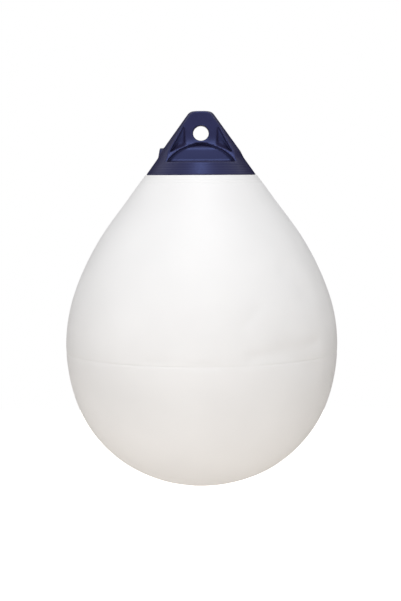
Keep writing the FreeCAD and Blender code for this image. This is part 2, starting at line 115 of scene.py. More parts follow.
def pick(piece: bpy.types.Object) -> None:
    """Selects one object alone and makes it the active one.

    Args:
        piece: The object.
    """
    clear_selection()
    piece.select_set(True)
    bpy.context.view_layer.objects.active = piece


def finish_modifier(piece: bpy.types.Object, kind: str, **settings: object) -> None:
    """Adds a modifier with its settings and applies it.

    Args:
        piece: The object to change.
        kind: The modifier's type.
        settings: The modifier's properties by name.
    """
    pick(piece)
    modifier = piece.modifiers.new(kind.title(), kind)
    for name, value in settings.items():
        setattr(modifier, name, value)
    bpy.ops.object.modifier_apply(modifier=modifier.name)


def work(piece: bpy.types.Object, tool: bpy.types.Object, cut: Cut) -> None:
    """Joins a tool with a body by a boolean and removes the tool.

    Args:
        piece: The body.
        tool: The tool, which is used up.
        cut: What the tool does.
    """
    finish_modifier(piece, "BOOLEAN", object=tool, operation=cut.value, solver="EXACT")
    bpy.data.objects.remove(tool)


def select_where(piece: bpy.types.Object, place: Place) -> int:
    """Selects the vertices for which a test of their place holds, and enters edit mode.

    Args:
        piece: The object.
        place: A test of a vertex's place in millimetres.

    Returns:
        How many vertices are selected.
    """
    pick(piece)
    bpy.ops.object.mode_set(mode="EDIT")
    bpy.ops.mesh.select_mode(type="VERT")
    bpy.ops.mesh.select_all(action="DESELECT")
    bpy.ops.object.mode_set(mode="OBJECT")
    chosen = [vertex for vertex in piece.data.vertices if place(vertex.co / MM)]
    for vertex in chosen:
        vertex.select = True
    bpy.ops.object.mode_set(mode="EDIT")
    return len(chosen)


def weigh(piece: bpy.types.Object, share: Share) -> None:
    """Gives a piece one vertex group whose weights follow the vertices' places.

    Args:
        piece: The object.
        share: A vertex's weight, from its place in millimetres.
    """
    piece.vertex_groups.clear()
    group = piece.vertex_groups.new(name=SHARE_GROUP)
    for vertex in piece.data.vertices:
        weight = share(vertex.co / MM)
        if weight > 0:
            group.add([vertex.index], min(1.0, weight), "REPLACE")


def smooth(piece: bpy.types.Object, passes: int, share: Share | None = None) -> None:
    """Evens a surface all over, or by a share of its own at each place.

    Args:
        piece: The object.
        passes: How many times each vertex moves towards its neighbours' middle.
        share: How much of that a place takes, from its place in millimetres.
    """
    if share:
        weigh(piece, share)
    finish_modifier(
        piece,
        "SMOOTH",
        factor=EVEN_SMOOTHING,
        iterations=passes,
        vertex_group=SHARE_GROUP if share else "",
    )


class Pen:
    """Draws an outline from one vertex by extruding and spinning it."""

    def __init__(self, name: str, plane: Plane, start: Point) -> None:
        """Starts a piece at a point of the plane.

        Args:
            name: The piece's name.
            plane: The plane to draw in.
            start: Where the outline starts, in millimetres.
        """
        clear_selection()
        bpy.ops.mesh.primitive_plane_add(size=MM)
        self.piece = bpy.context.object
        self.piece.name = name
        self.piece.data.name = name
        self.plane = plane
        self.spot = start
        bpy.ops.object.mode_set(mode="EDIT")
        bpy.ops.mesh.select_mode(type="VERT")
        bpy.ops.mesh.merge(type="CENTER")
        bpy.ops.transform.translate(value=plane.at(*start))

    def line_to(self, end: Point, steps: int = 1) -> None:
        """Extrudes the vertex to a point in equal steps.

        Args:
            end: The point in millimetres.
            steps: How many steps lead there.
        """
        step = (self.plane.at(*end) - self.plane.at(*self.spot)) / steps
        for _ in range(steps):
            bpy.ops.mesh.extrude_region_move(TRANSFORM_OT_translate={"value": step})
        self.spot = end

    def arc_about(self, center: Point, turn: float, chord: float) -> None:
        """Spins the vertex about a point.

        Args:
            center: The arc's centre in millimetres.
            turn: The turn in radians, clockwise if positive.
            chord: About how long each step may be, in millimetres.
        """
        radius = math.dist(center, self.spot)
        steps = max(LEAST_ARC_STEPS, math.ceil(abs(turn) * radius / chord))
        bpy.ops.mesh.spin(
            steps=steps,
            angle=turn,
            center=self.plane.at(*center),
            axis=self.plane.clockwise_axis(),
        )
        start = math.atan2(self.spot[1] - center[1], self.spot[0] - center[0])
        end = start - turn
        self.spot = (center[0] + radius * math.cos(end), center[1] + radius * math.sin(end))

    def outline(self, corners: Sequence[Corner], chord: float) -> None:
        """Draws the corners in turn, from the start point on.

        Args:
            corners: Each (across, up), or (across, up, radius) where the corner is rounded.
            chord: The step along rounded corners in millimetres.
        """
        for index, corner in enumerate(corners):
            if len(corner) == 2:
                self.line_to(corner)
                continue
            here = Vector(corner[:2])
            back = (Vector(self.spot) - here).normalized()
            ahead = (Vector(corners[(index + 1) % len(corners)][:2]) - here).normalized()
            half = back.angle(ahead) / 2
            entry = here + back * corner[2] / math.tan(half)
            self.line_to(tuple(entry))
            center = here + (back + ahead).normalized() * corner[2] / math.sin(half)
            clockwise = back.x * ahead.y - back.y * ahead.x > 0
            turn = math.pi - 2 * half
            self.arc_about(tuple(center), turn if clockwise else -turn, chord)

    def prism(self, depth: float) -> bpy.types.Object:
        """Fills the outline and extrudes it across its plane, half to each side.

        Args:
            depth: The whole depth in millimetres.

        Returns:
            The finished tool or body.
        """
        bpy.ops.mesh.select_all(action="SELECT")
        bpy.ops.mesh.remove_doubles(threshold=DOUBLES)
        bpy.ops.mesh.edge_face_add()
        across = self.plane.depth() * depth * MM
        bpy.ops.mesh.extrude_region_move(TRANSFORM_OT_translate={"value": across})
        bpy.ops.mesh.select_all(action="SELECT")
        bpy.ops.transform.translate(value=-across / 2)
        bpy.ops.mesh.normals_make_consistent(inside=False)
        bpy.ops.object.mode_set(mode="OBJECT")
        return self.piece

    def turned(self, steps: int) -> bpy.types.Object:
        """Spins the outline round the Z axis into a closed body.

        Args:
            steps: How many steps go round.

        Returns:
            The finished body.
        """
        bpy.ops.mesh.select_all(action="SELECT")
        bpy.ops.mesh.spin(steps=steps, angle=math.tau, center=(0, 0, 0), axis=(0, 0, 1))
        bpy.ops.mesh.select_all(action="SELECT")
        bpy.ops.mesh.remove_doubles(threshold=DOUBLES)
        bpy.ops.mesh.normals_make_consistent(inside=False)
        bpy.ops.object.mode_set(mode="OBJECT")
        return self.piece


def slope_of(angle: float) -> float:
    """The sideways run per millimetre of height at an angle in degrees."""
    return math.tan(math.radians(angle))


def mirrored(corners: Sequence[Corner]) -> list[Corner]:
    """The right-hand corners from top to bottom, followed by their mirror images."""
    return list(corners) + [(-c[0], *c[1:]) for c in reversed(corners) if c[0]]


def drum(name: str, radius: float, start: Vector, end: Vector, sides: int) -> bpy.types.Object:
    """A plain cylinder between two points, with its place in its mesh.

    Args:
        name: The piece's name.
        radius: Its radius in millimetres.
        start: One end of its axis in millimetres.
        end: The other end.
        sides: How many sides go round.

    Returns:
        The cylinder.
    """
    clear_selection()
    along = end - start
    bpy.ops.mesh.primitive_cylinder_add(
        vertices=sides,
        radius=radius * MM,
        depth=along.length * MM,
        location=(start + end) / 2 * MM,
        rotation=along.to_track_quat("Z", "Y").to_euler(),
    )
    piece = bpy.context.object
    piece.name = name
    bpy.ops.object.transform_apply(location=True, rotation=True, scale=True)
    return piece


# Shared sizes


@dataclass(frozen=True)
class Joint:
    """Where the ball and the rope hold meet, in millimetres."""

    ledge_drop: float = 45.0
    band_height: float = 20.4
    band_top_radius: float = 72.6
    band_base_radius: float = 87.2
    ring_wall: float = 11.2
    roof_plate: float = 8.0
    lip: float = 1.0
    bond_gap: float = 0.2

    @property
    def z(self) -> float:
        """Height of the joint's plane."""
        return -self.ledge_drop - self.band_height

    @property
    def slope(self) -> float:
        """Outward run of the band per millimetre of drop."""
        return (self.band_base_radius - self.band_top_radius) / self.band_height

    @property
    def cavity_z(self) -> float:
        """Height of the roof of the hold's hollow."""
        return -self.ledge_drop - self.roof_plate

    @property
    def cavity_base(self) -> float:
        """Radius of the hollow at the joint."""
        return self.band_base_radius - self.ring_wall

    @property
    def cavity_top(self) -> float:
        """Radius of the hollow at its roof."""
        return self.cavity_base - self.slope * (self.cavity_z - self.z)


JOINT = Joint()


# Materials


WHITE = "#FFFFFF"
BLACK = "#000000"

# Nearly all values of a smooth noise lie between these two.
NOISE_SPAN = (0.3, 0.7)


def linear(colour: str) -> tuple[float, float, float, float]:
    """Turns an sRGB colour into a linear one.

    Args:
        colour: The colour as a hex value.

    Returns:
        Its linear red, green and blue, and full opacity.
    """
    parts = [int(colour[i:i + 2], 16) / 255 for i in (1, 3, 5)]
    low = [part / 12.92 if part <= 0.04045 else ((part + 0.055) / 1.055) ** 2.4 for part in parts]
    return low[0], low[1], low[2], 1.0


def blank_material(name: str) -> bpy.types.Material:
    """Adds a material whose node tree is empty.

    Args:
        name: The material's name.

    Returns:
        The material.
    """
    material = bpy.data.materials.new(name)
    material.use_nodes = True
    material.node_tree.nodes.clear()
    return material


def add_node(
    tree: bpy.types.NodeTree,
    kind: str,
    settings: dict[str, object] | None = None,
    inputs: dict[str | int, object] | None = None,
) -> bpy.types.Node:
    """Adds a node with its settings, values and links.

    Args:
        tree: The node tree.
        kind: The node's type.
        settings: The node's own properties by name.
        inputs: For each input, a value, the output socket that is linked to it, or a node whose
            first output is.

    Returns:
        The node.
    """
    node = tree.nodes.new(kind)
    for name, value in (settings or {}).items():
        setattr(node, name, value)
    for name, value in (inputs or {}).items():
        source = value.outputs[0] if isinstance(value, bpy.types.Node) else value
        if isinstance(source, bpy.types.NodeSocket):
            tree.links.new(source, node.inputs[name])
        else:
            node.inputs[name].default_value = source
    return node


@dataclass(frozen=True)
class Rings:
    """Fine turning marks of the mould over a range of heights, in millimetres."""

    pitch: float
    depth: float
    middle: float
    reach: float

    def height(self, tree: bpy.types.NodeTree, where: bpy.types.NodeSocket) -> bpy.types.Node:
        """Adds nodes for the rings' height in metres.

        Args:
            tree: The node tree.
            where: The coordinates in metres.

        Returns:
            The node whose output is the height.
        """
        up = add_node(tree, "ShaderNodeSeparateXYZ", inputs={"Vector": where}).outputs["Z"]
        turns = add_node(
            tree,
            "ShaderNodeMath",
            {"operation": "MULTIPLY"},
            {0: up, 1: math.tau / (self.pitch * MM)},
        )
        wave = add_node(tree, "ShaderNodeMath", {"operation": "SINE"}, {0: turns})
        inside = add_node(
            tree,
            "ShaderNodeMath",
            {"operation": "COMPARE"},
            {0: up, 1: self.middle * MM, 2: self.reach * MM},
        )
        lift = add_node(
            tree, "ShaderNodeMath", {"operation": "MULTIPLY"}, {0: inside, 1: self.depth * MM / 2}
        )
        return add_node(tree, "ShaderNodeMath", {"operation": "MULTIPLY"}, {0: wave, 1: lift})


@dataclass(frozen=True)
class Finish:
    """A moulded plastic's finish.

    The colour drifts between two near shades over patches of patch_mm, the gloss drifts between
    two roughnesses over patches a quarter as wide, and a fine grain of grain_mm lifts the surface
    by grain_depth_mm.
    """

    name: str
    light: str
    dark: str
    patch_mm: float
    roughness: tuple[float, float]
    grain_mm: float
    grain_depth_mm: float
    ior: float = 1.53
    specular: float = 0.5
    sheen_tint: str = WHITE
    rings: Rings | None = None

    def material(self) -> bpy.types.Material:
        """Builds the material.

        Returns:
            The material, with its nodes.
        """
        material = blank_material(self.name)
        tree = material.node_tree
        where = add_node(tree, "ShaderNodeTexCoord").outputs["Object"]
        patches, handling, grain = (
            add_node(
                tree,
                "ShaderNodeTexNoise",
                inputs={
                    "Vector": where,
                    "Scale": 1 / (size * MM),
                    "Detail": layers,
                    "Roughness": strength,
                },
            )
            for size, layers, strength in (
                (self.patch_mm, 2.0, 0.5),
                (self.patch_mm / 4, 4.0, 0.6),
                (self.grain_mm, 2.0, 0.5),
            )
        )
        colour = add_node(tree, "ShaderNodeValToRGB", inputs={"Fac": patches})
        shades = (self.dark, self.light)
        for stop, position, shade in zip(colour.color_ramp.elements, NOISE_SPAN, shades):
            stop.position = position
            stop.color = linear(shade)
        gloss = add_node(
            tree,
            "ShaderNodeMapRange",
            inputs={
                "Value": handling,
                "From Min": NOISE_SPAN[0],
                "From Max": NOISE_SPAN[1],
                "To Min": self.roughness[0],
                "To Max": self.roughness[1],
            },
        )
        height = add_node(
            tree,
            "ShaderNodeMath",
            {"operation": "MULTIPLY"},
            {0: grain, 1: self.grain_depth_mm * MM},
        )
        if self.rings:
            rings = self.rings.height(tree, where)
            height = add_node(tree, "ShaderNodeMath", {"operation": "ADD"}, {0: height, 1: rings})
        # The height is in metres, so the bump's own distance is one.
        bump = add_node(
            tree, "ShaderNodeBump", inputs={"Strength": 1.0, "Distance": 1.0, "Height": height}
        )
        shader = add_node(
            tree,
            "ShaderNodeBsdfPrincipled",
            inputs={
                "Base Color": colour,
                "Roughness": gloss,
                "IOR": self.ior,
                "Specular IOR Level": self.specular,
                "Specular Tint": linear(self.sheen_tint),
                "Normal": bump,
            },
        )
        add_node(tree, "ShaderNodeOutputMaterial", inputs={"Surface": shader})
        return material

    def put_on(self, piece: bpy.types.Object) -> None:
        """Gives a piece this finish all over, in the slots that it has or in a new one.

        Args:
            piece: The object.
        """
        if not piece.material_slots:
            piece.data.materials.append(self.material())
            return
        for slot in piece.material_slots:
            slot.material = self.material()


# White plasticised PVC, moulded and inflated: a clean neutral white, a shade duller in broad
# patches, with a soft gloss that gives the eye wide blurred highlights. Its peel is drawn at
# 2.4 mm, as coarse as it needs to be to show.
WHITE_VINYL = Finish(
    name="white_pvc_moulded",
    light="#F2F2F3",
    dark="#EDEDEE",
    patch_mm=140.0,
    roughness=(0.54, 0.62),
    grain_mm=2.4,
    grain_depth_mm=0.012,
)

# Navy pigmented PVC, cast solid in a satin mould: dark, with a low bluish sheen that lights the
# crests and rims, a fine mould grain, and the mould's turning marks as fine lines round the band.
NAVY_VINYL = Finish(
    name="navy_pvc_cast",
    light="#292743",
    dark="#26243E",
    patch_mm=24.0,
    roughness=(0.38, 0.44),
    grain_mm=1.1,
    grain_depth_mm=0.007,
    specular=0.38,
    sheen_tint="#86A2FF",
    rings=Rings(pitch=3.8, depth=0.16, middle=-56.0, reach=7.6),
)

# Glass-filled nylon bush, moulded black: matte, slightly grainy.
BLACK_NYLON = Finish(
    name="black_nylon_moulded",
    light="#2B2C30",
    dark="#232428",
    patch_mm=6.0,
    roughness=(0.5, 0.62),
    grain_mm=0.5,
    grain_depth_mm=0.01,
)

# Acetal screw, turned from natural rod: a pale even plastic with a light sheen.
PALE_ACETAL = Finish(
    name="pale_acetal_turned",
    light="#D9D8D2",
    dark="#CFCEC7",
    patch_mm=5.0,
    roughness=(0.36, 0.46),
    grain_mm=0.4,
    grain_depth_mm=0.006,
    ior=1.48,
)

# Nitrile washer: dead matte black rubber.
NITRILE = Finish(
    name="nitrile_rubber",
    light="#1D1D1F",
    dark="#171718",
    patch_mm=4.0,
    roughness=(0.75, 0.85),
    grain_mm=0.3,
    grain_depth_mm=0.008,
    ior=1.52,
)


# Ball


@dataclass(frozen=True)
class Dent:
    """A soft press in the skin along a line, given by azimuth in degrees and height in millimetres.

    Azimuth zero faces front and grows to the right.
    """

    start: Point
    end: Point
    depth: float
    reach: float


@dataclass
class Ball:
    """The inflated skin, from the neck inside the rope hold to the crown below.

    The parting line's section gives how far down the skin and how far proud of it each point is.
    Each run of its trimming is a wave round the ball: how many there are, where they start in
    radians, and how much they count. Each wave of the skin is a depth and a size. A dent ends at
    dent_end times its reach.
    """

    belly_radius: float = 216.5
    upper_belly_arc: float = 260.0
    upper_belly_span: float = 20.0
    shoulder_arc: float = 430.0
    cone_angle: float = 37.0
    lower_belly_arc: float = 270.0
    lower_belly_span: float = 17.0
    flank_arc: float = 206.0
    flank_span: float = 58.0
    neck_round: float = 2.0
    lip_round: float = 0.6
    lip_run: float = 2.0
    seam_drop: float = 9.0
    seam_lead: float = 2.0
    seam_section: tuple[Point, ...] = (
        (-1.6, 0.0),
        (-0.9, -0.16),
        (-0.2, -0.36),
        (0.3, -0.4),
        (0.9, -0.28),
        (1.7, -0.14),
        (2.6, -0.04),
        (3.6, 0.0),
    )
    trim_reach: float = 7.0
    trim_share: float = 0.5
    trim_runs: tuple[Corner, ...] = ((5, 0.4, 0.4), (17, 2.0, 0.35))
    trim_smoothing: int = 24
    ring_pitch: float = 4.0
    ring_count: int = 3
    ring_width: float = 1.5
    ring_depth: float = 0.35
    row: float = 4.0
    fine_row: float = 0.9
    lip_row: float = 0.4
    columns: int = 320
    crease_angle: float = 60.0
    waves: tuple[Point, ...] = ((0.9, 90.0), (0.3, 28.0))
    wave_clear: float = 16.0
    wave_fade: float = 30.0
    dent_end: float = 2.0
    dents: list[Dent] = field(
        default_factory=lambda: [
            Dent((20.0, -332.0), (54.0, -318.0), 1.5, 14.0),
            Dent((36.0, -326.0), (50.0, -352.0), 2.0, 32.0),
            Dent((17.0, -286.0), (25.0, -258.0), 0.8, 11.0),
            Dent((44.0, -205.0), (52.0, -240.0), 1.6, 28.0),
            Dent((-22.0, -338.0), (6.0, -342.0), 0.6, 9.0),
            Dent((-3.5, -383.0), (-2.5, -383.0), 0.35, 5.0),
            Dent((-52.0, -378.0), (-28.0, -379.0), 0.35, 2.4),
            Dent((150.0, -300.0), (172.0, -322.0), 0.8, 26.0),
            Dent((-140.0, -420.0), (-118.0, -404.0), 0.8, 28.0),
        ]
    )

    def build(self) -> bpy.types.Object:
        """Draws the half section, turns it, presses the waves and dents into it, and dresses it.

        Returns:
            The finished piece.
        """
        pen = Pen("ball_skin", Plane.FRONT, (0.0, JOINT.cavity_z - JOINT.bond_gap))
        self.draw_neck(pen)
        self.draw_cone(pen)
        self.draw_belly(pen)
        piece = pen.turned(self.columns)
        smooth(piece, self.trim_smoothing, self.share_of_trim)
        self.wave_skin(piece)
        for dent in self.dents:
            self.press(piece, dent)
        piece.vertex_groups.clear()
        pick(piece)
        bpy.ops.object.shade_smooth_by_angle(angle=math.radians(self.crease_angle))
        WHITE_VINYL.put_on(piece)
        return piece

    @property
    def cone_run(self) -> float:
        """Outward run of the cone per millimetre of drop."""
        return slope_of(self.cone_angle)

    @property
    def lip_radius(self) -> float:
        """Radius of the lip, a little outside the hold's rim."""
        return JOINT.band_base_radius + JOINT.lip

    def draw_neck(self, pen: Pen) -> None:
        """Draws the raised top that plugs into the rope hold, and the lip under the hold's rim.

        Args:
            pen: The pen, at the top of the neck.
        """
        neck_z = JOINT.cavity_z - JOINT.bond_gap
        pen.outline(
            [
                (JOINT.cavity_top - JOINT.bond_gap, neck_z, self.neck_round),
                (JOINT.cavity_base - JOINT.bond_gap, JOINT.z),
            ],
            self.fine_row,
        )
        pen.outline(
            [
                (self.lip_radius, JOINT.z, self.lip_round),
                (self.lip_radius + self.cone_run * self.lip_run, JOINT.z - self.lip_run),
            ],
            self.lip_row,
        )

    def draw_cone(self, pen: Pen) -> None:
        """Draws the cone with the fine mould rings under its lip.

        Args:
            pen: The pen, just under the lip.
        """
        half = self.ring_width / 2
        for number in range(self.ring_count):
            drop = self.ring_pitch * (number + 1)
            for step, depth in ((-half, 0.0), (0.0, self.ring_depth), (half, 0.0)):
                radius = self.lip_radius + self.cone_run * (drop + step) - depth
                pen.line_to((radius, JOINT.z - drop - step))
        angle = math.radians(self.cone_angle)
        foot = (
            self.shoulder_center[0] + math.cos(angle) * self.shoulder_arc,
            self.shoulder_center[1] + math.sin(angle) * self.shoulder_arc,
        )
        pen.line_to(foot, math.ceil(math.dist(pen.spot, foot) / self.row))

    @property
    def shoulder_center(self) -> Point:
        """Centre of the shoulder's arc.

        Returns:
            Its place in the section.
        """
        reach = self.upper_belly_arc - self.shoulder_arc
        span = math.radians(self.upper_belly_span)
        return (
            self.belly_radius - self.upper_belly_arc + math.cos(span) * reach,
            self.belly_z + math.sin(span) * reach,
        )

    @property
    def belly_z(self) -> float:
        """Height of the widest ring, which follows from the arcs above it.

        Returns:
            The height in millimetres.
        """
        reach = self.upper_belly_arc - self.shoulder_arc
        span = math.radians(self.upper_belly_span)
        angle = math.radians(self.cone_angle)
        shoulder_x = self.belly_radius - self.upper_belly_arc + math.cos(span) * reach
        foot_x = shoulder_x + math.cos(angle) * self.shoulder_arc
        cone_height = (foot_x - self.lip_radius) / self.cone_run
        return JOINT.z - math.sin(span) * reach - math.sin(angle) * self.shoulder_arc - cone_height

    def draw_belly(self, pen: Pen) -> None:
        """Draws the shoulder, the belly with its parting line, the flank and the crown.

        Args:
            pen: The pen, at the foot of the cone.
        """
        shoulder_turn = math.radians(self.cone_angle - self.upper_belly_span)
        pen.arc_about(self.shoulder_center, shoulder_turn, self.row)
        upper = (self.belly_radius - self.upper_belly_arc, self.belly_z)
        pen.arc_about(upper, math.radians(self.upper_belly_span), self.row)
        lower = (self.belly_radius - self.lower_belly_arc, self.belly_z)
        pen.arc_about(lower, (self.seam_drop - self.seam_lead) / self.lower_belly_arc, self.row)
        self.draw_parting_line(pen, lower)
        used = (self.seam_drop + self.seam_section[-1][0]) / self.lower_belly_arc
        pen.arc_about(lower, math.radians(self.lower_belly_span) - used, self.row)
        span = math.radians(self.lower_belly_span)
        reach = self.lower_belly_arc - self.flank_arc
        flank = (lower[0] + math.cos(span) * reach, lower[1] - math.sin(span) * reach)
        pen.arc_about(flank, math.radians(self.flank_span), self.row)
        full = math.radians(self.lower_belly_span + self.flank_span)
        crown = (0.0, flank[1] + math.sin(full) * flank[0] / math.cos(full))
        pen.arc_about(crown, math.pi / 2 - full, self.row)

    def draw_parting_line(self, pen: Pen, center: Point) -> None:
        """Draws the fine groove where the mould's halves met.

        Args:
            pen: The pen, just above the groove.
            center: The centre of the belly's lower arc.
        """
        for along, proud in self.seam_section:
            angle = (self.seam_drop + along) / self.lower_belly_arc
            radius = self.lower_belly_arc + proud
            across = center[0] + math.cos(angle) * radius
            pen.line_to((across, center[1] - math.sin(angle) * radius))

    def share_of_trim(self, spot: Vector) -> float:
        """How far the parting line was trimmed flush at a place: in uneven stretches all round.

        Args:
            spot: The place in millimetres.

        Returns:
            The share, zero away from the line.
        """
        if abs(spot.z - self.belly_z + self.seam_drop) > self.trim_reach:
            return 0.0
        azimuth = math.atan2(spot.x, -spot.y)
        runs = (weight * math.sin(count * azimuth + lead) for count, lead, weight in self.trim_runs)
        return self.trim_share + sum(runs)

    def wave_skin(self, piece: bpy.types.Object) -> None:
        """Gives the skin the slow unevenness of soft vinyl under pressure, fading at the neck.

        Args:
            piece: The ball.
        """
        weigh(piece, lambda spot: (JOINT.z - spot.z - self.wave_clear) / self.wave_fade)
        for depth, size in self.waves:
            texture = bpy.data.textures.new("skin_wave", "CLOUDS")
            texture.noise_scale = size * MM
            texture.noise_depth = 1
            finish_modifier(
                piece,
                "DISPLACE",
                texture=texture,
                texture_coords="LOCAL",
                vertex_group=SHARE_GROUP,
                mid_level=1.0,
                strength=depth * MM,
            )

    def press(self, piece: bpy.types.Object, dent: Dent) -> None:
        """Presses one dent into the skin.

        Args:
            piece: The ball.
            dent: Where it is, how deep, and how far it reaches to each side.
        """
        start = self.on_skin(dent.start)
        end = self.on_skin(dent.end)
        along = end - start

        def pressed(spot: Vector) -> float:
            """How much of the dent's depth a place takes, as a bell over the dent's line.

            Args:
                spot: The place in millimetres.

            Returns:
                The share.
            """
            share = max(0.0, min(1.0, (spot - start).dot(along) / along.length_squared))
            away = (spot - start - along * share).length / dent.reach
            return math.exp(-2 * away * away) if away < self.dent_end else 0.0

        weigh(piece, pressed)
        finish_modifier(
            piece, "DISPLACE", vertex_group=SHARE_GROUP, mid_level=0.0, strength=-dent.depth * MM
        )

    def on_skin(self, place: Point) -> Vector:
        """The point of the ball's skin at a bearing and a height.

        Args:
            place: The azimuth in degrees and the height in millimetres.

        Returns:
            The point in millimetres.
        """
        azimuth = math.radians(place[0])
        radius = self.radius_at(place[1])
        return Vector((math.sin(azimuth) * radius, -math.cos(azimuth) * radius, place[1]))

    def radius_at(self, z: float) -> float:
        """The ball's radius at a height, near enough to place a dent.

        One arc stands in for the belly and the shoulder, and one for the belly and the flank.

        Args:
            z: The height in millimetres.

        Returns:
            The radius in millimetres.
        """
        flatter, rounder = 40.0, 30.0
        above = z - self.belly_z
        arc = self.upper_belly_arc + flatter if above > 0 else self.lower_belly_arc - rounder
        return self.belly_radius - arc + math.sqrt(max(0.0, arc * arc - above * above))


# Rope hold


@dataclass
class RopeHold:
    """The solid top: a wedge with scooped faces between ribs, a round eye and the valve's boss.

    Tools reach past the body by the size beyond, bodies overlap by the size overlap, and the tab's
    foot stays inside the band by the size inset, so that no faces coincide. A size whose name ends
    in at_eye holds at the eye's height. Tilts are from upright.
    """

    eye_radius: float = 12.4
    eye_flatness: float = 0.95
    eye_floor: float = 2.8
    eye_roof: float = 22.6
    tab_half_width: float = 42.4
    tab_angle: float = 35.75
    tab_corner: float = 12.9
    top_round: float = 3.6
    foot_top: float = 28.0
    foot_height: float = 10.0
    band_round: float = 2.5
    face_top: float = 13.4
    face_tilt: float = 12.0
    wedge_at_eye: float = 23.4
    wedge_tilt: float = 24.9
    knee_round: float = 60.0
    flare_tilt: float = 34.0
    flare_meet: float = 34.0
    flare_radius: float = 41.0
    web_at_arch: float = 17.0
    web_knee: Corner = (27.5, -22.5, 18.0)
    web_foot: float = 37.5
    web_cove: float = 7.0
    recess_at_eye: float = 17.0
    recess_tilt: float = 6.0
    recess_cove: float = 11.0
    rib_line_at_eye: float = 32.7
    rib_line_slope: float = 0.545
    boss_half_width: float = 25.5
    scoop_top: float = 17.5
    arch_rise: float = 20.8
    arch_crown: float = 37.0
    haunch_x: float = 40.0
    haunch_round: float = 66.0
    arch_foot_x: float = 53.6
    rim_wall: float = 3.0
    recess_foot: float = 31.5
    valve_drop: float = 32.0
    valve_boss_radius: float = 9.2
    valve_face_x: float = 66.6
    valve_face_lean: float = 10.6
    valve_bore_radius: float = 5.8
    valve_root_x: float = 20.0
    valve_clear_x: float = 90.0
    insert_inset: float = 2.4
    insert_length: float = 17.0
    chamber_length: float = 5.0
    beyond: float = 200.0
    overlap: float = 1.0
    inset: float = 0.02
    chord: float = 1.2
    columns: int = 288
    eye_sides: int = 96
    boss_sides: int = 64
    bore_sides: int = 48
    cove_steps: int = 6
    voxel: float = 1.04
    smoothing: int = 4
    recess_smoothing: int = 40
    rim_smoothing: int = 8

    @property
    def tab_top(self) -> float:
        """Height of the tab's top."""
        return self.eye_radius + self.eye_roof

    @property
    def ledge_z(self) -> float:
        """Height of the band's top."""
        return -JOINT.ledge_drop

    @property
    def crown_z(self) -> float:
        """Height of the arch's crown, under the eye."""
        return -self.eye_radius - self.eye_floor

    @property
    def peak_z(self) -> float:
        """Height at which the arch's two slopes would meet."""
        return self.crown_z + self.arch_crown * (1 / math.cos(math.radians(self.arch_rise)) - 1)

    @property
    def haunch_z(self) -> float:
        """Height of the arch's haunches."""
        return self.peak_z - slope_of(self.arch_rise) * self.haunch_x

    def band_x(self, z: float) -> float:
        """Radius of the band's cone at a height."""
        return JOINT.band_top_radius + JOINT.slope * (self.ledge_z - z)

    def face_y(self, z: float) -> float:
        """Half thickness of the boss's flat face at a height."""
        return self.face_top + slope_of(self.face_tilt) * (self.tab_top - z)

    def wedge_y(self, z: float) -> float:
        """Half thickness across the rib crests at a height."""
        return self.wedge_at_eye - slope_of(self.wedge_tilt) * z

    def flare_y(self, z: float) -> float:
        """Half thickness of the flared skirt at a height."""
        meet = self.wedge_y(-self.flare_meet)
        return meet + slope_of(self.flare_tilt) * (-self.flare_meet - z)

    def recess_y(self, z: float) -> float:
        """Half thickness between the recesses' floors at a height."""
        return self.recess_at_eye - slope_of(self.recess_tilt) * z

    def rib_x(self, z: float) -> float:
        """Inner edge of a rib at a height."""
        return self.rib_line_at_eye - self.rib_line_slope * z

    def build(self) -> bpy.types.Object:
        """Builds the hold from turned and extruded bodies, softens its edges and dresses it.

        Returns:
            The finished piece.
        """
        piece = self.band()
        work(piece, self.block(), Cut.ADD)
        work(piece, self.scoop(), Cut.TAKE_AWAY)
        work(piece, self.arch(), Cut.TAKE_AWAY)
        work(piece, self.recesses(), Cut.TAKE_AWAY)
        work(piece, self.eye(), Cut.TAKE_AWAY)
        self.add_valve_seat(piece)
        self.soften(piece)
        NAVY_VINYL.put_on(piece)
        return piece

    def band(self) -> bpy.types.Object:
        """The conical band at the foot, hollow below for the ball's neck.

        Returns:
            The body.
        """
        pen = Pen("rope_hold_body", Plane.FRONT, (0.0, JOINT.cavity_z))
        pen.outline(
            [
                (JOINT.cavity_top, JOINT.cavity_z),
                (JOINT.cavity_base, JOINT.z),
                (JOINT.band_base_radius, JOINT.z),
                (JOINT.band_top_radius, self.ledge_z, self.band_round),
                (0.0, self.ledge_z),
            ],
            self.chord,
        )
        return pen.turned(self.columns)

    def block(self) -> bpy.types.Object:
        """The turned tab, cut to its wedge shape as seen from the side.

        Returns:
            The body.
        """
        run = slope_of(self.tab_angle)
        root_z = self.ledge_z - self.band_round * 2
        foot_end_z = -self.foot_top - self.foot_height
        pen = Pen("tab", Plane.FRONT, (0.0, self.tab_top))
        pen.outline(
            [
                (self.tab_half_width - run * self.tab_top, self.tab_top, self.tab_corner),
                (self.tab_half_width + run * self.foot_top, -self.foot_top),
                (self.band_x(foot_end_z), foot_end_z),
                (self.band_x(root_z) - self.inset, root_z),
                (0.0, root_z),
            ],
            self.chord,
        )
        tab = pen.turned(self.columns)
        tilt = slope_of(self.face_tilt) - slope_of(self.wedge_tilt)
        knee = (self.face_y(0.0) - self.wedge_at_eye) / tilt
        outline = mirrored(
            [
                (0.0, self.tab_top),
                (self.face_top, self.tab_top, self.top_round),
                (self.wedge_y(knee), knee, self.knee_round),
                (self.wedge_y(-self.flare_meet), -self.flare_meet),
                (self.flare_y(self.ledge_z), self.ledge_z),
                (self.flare_y(self.ledge_z), root_z - self.overlap),
            ]
        )
        side = Pen("side", Plane.SIDE, outline[0])
        side.outline(outline[1:], self.chord)
        work(tab, side.prism(self.beyond * 2), Cut.KEEP_COMMON)
        return tab

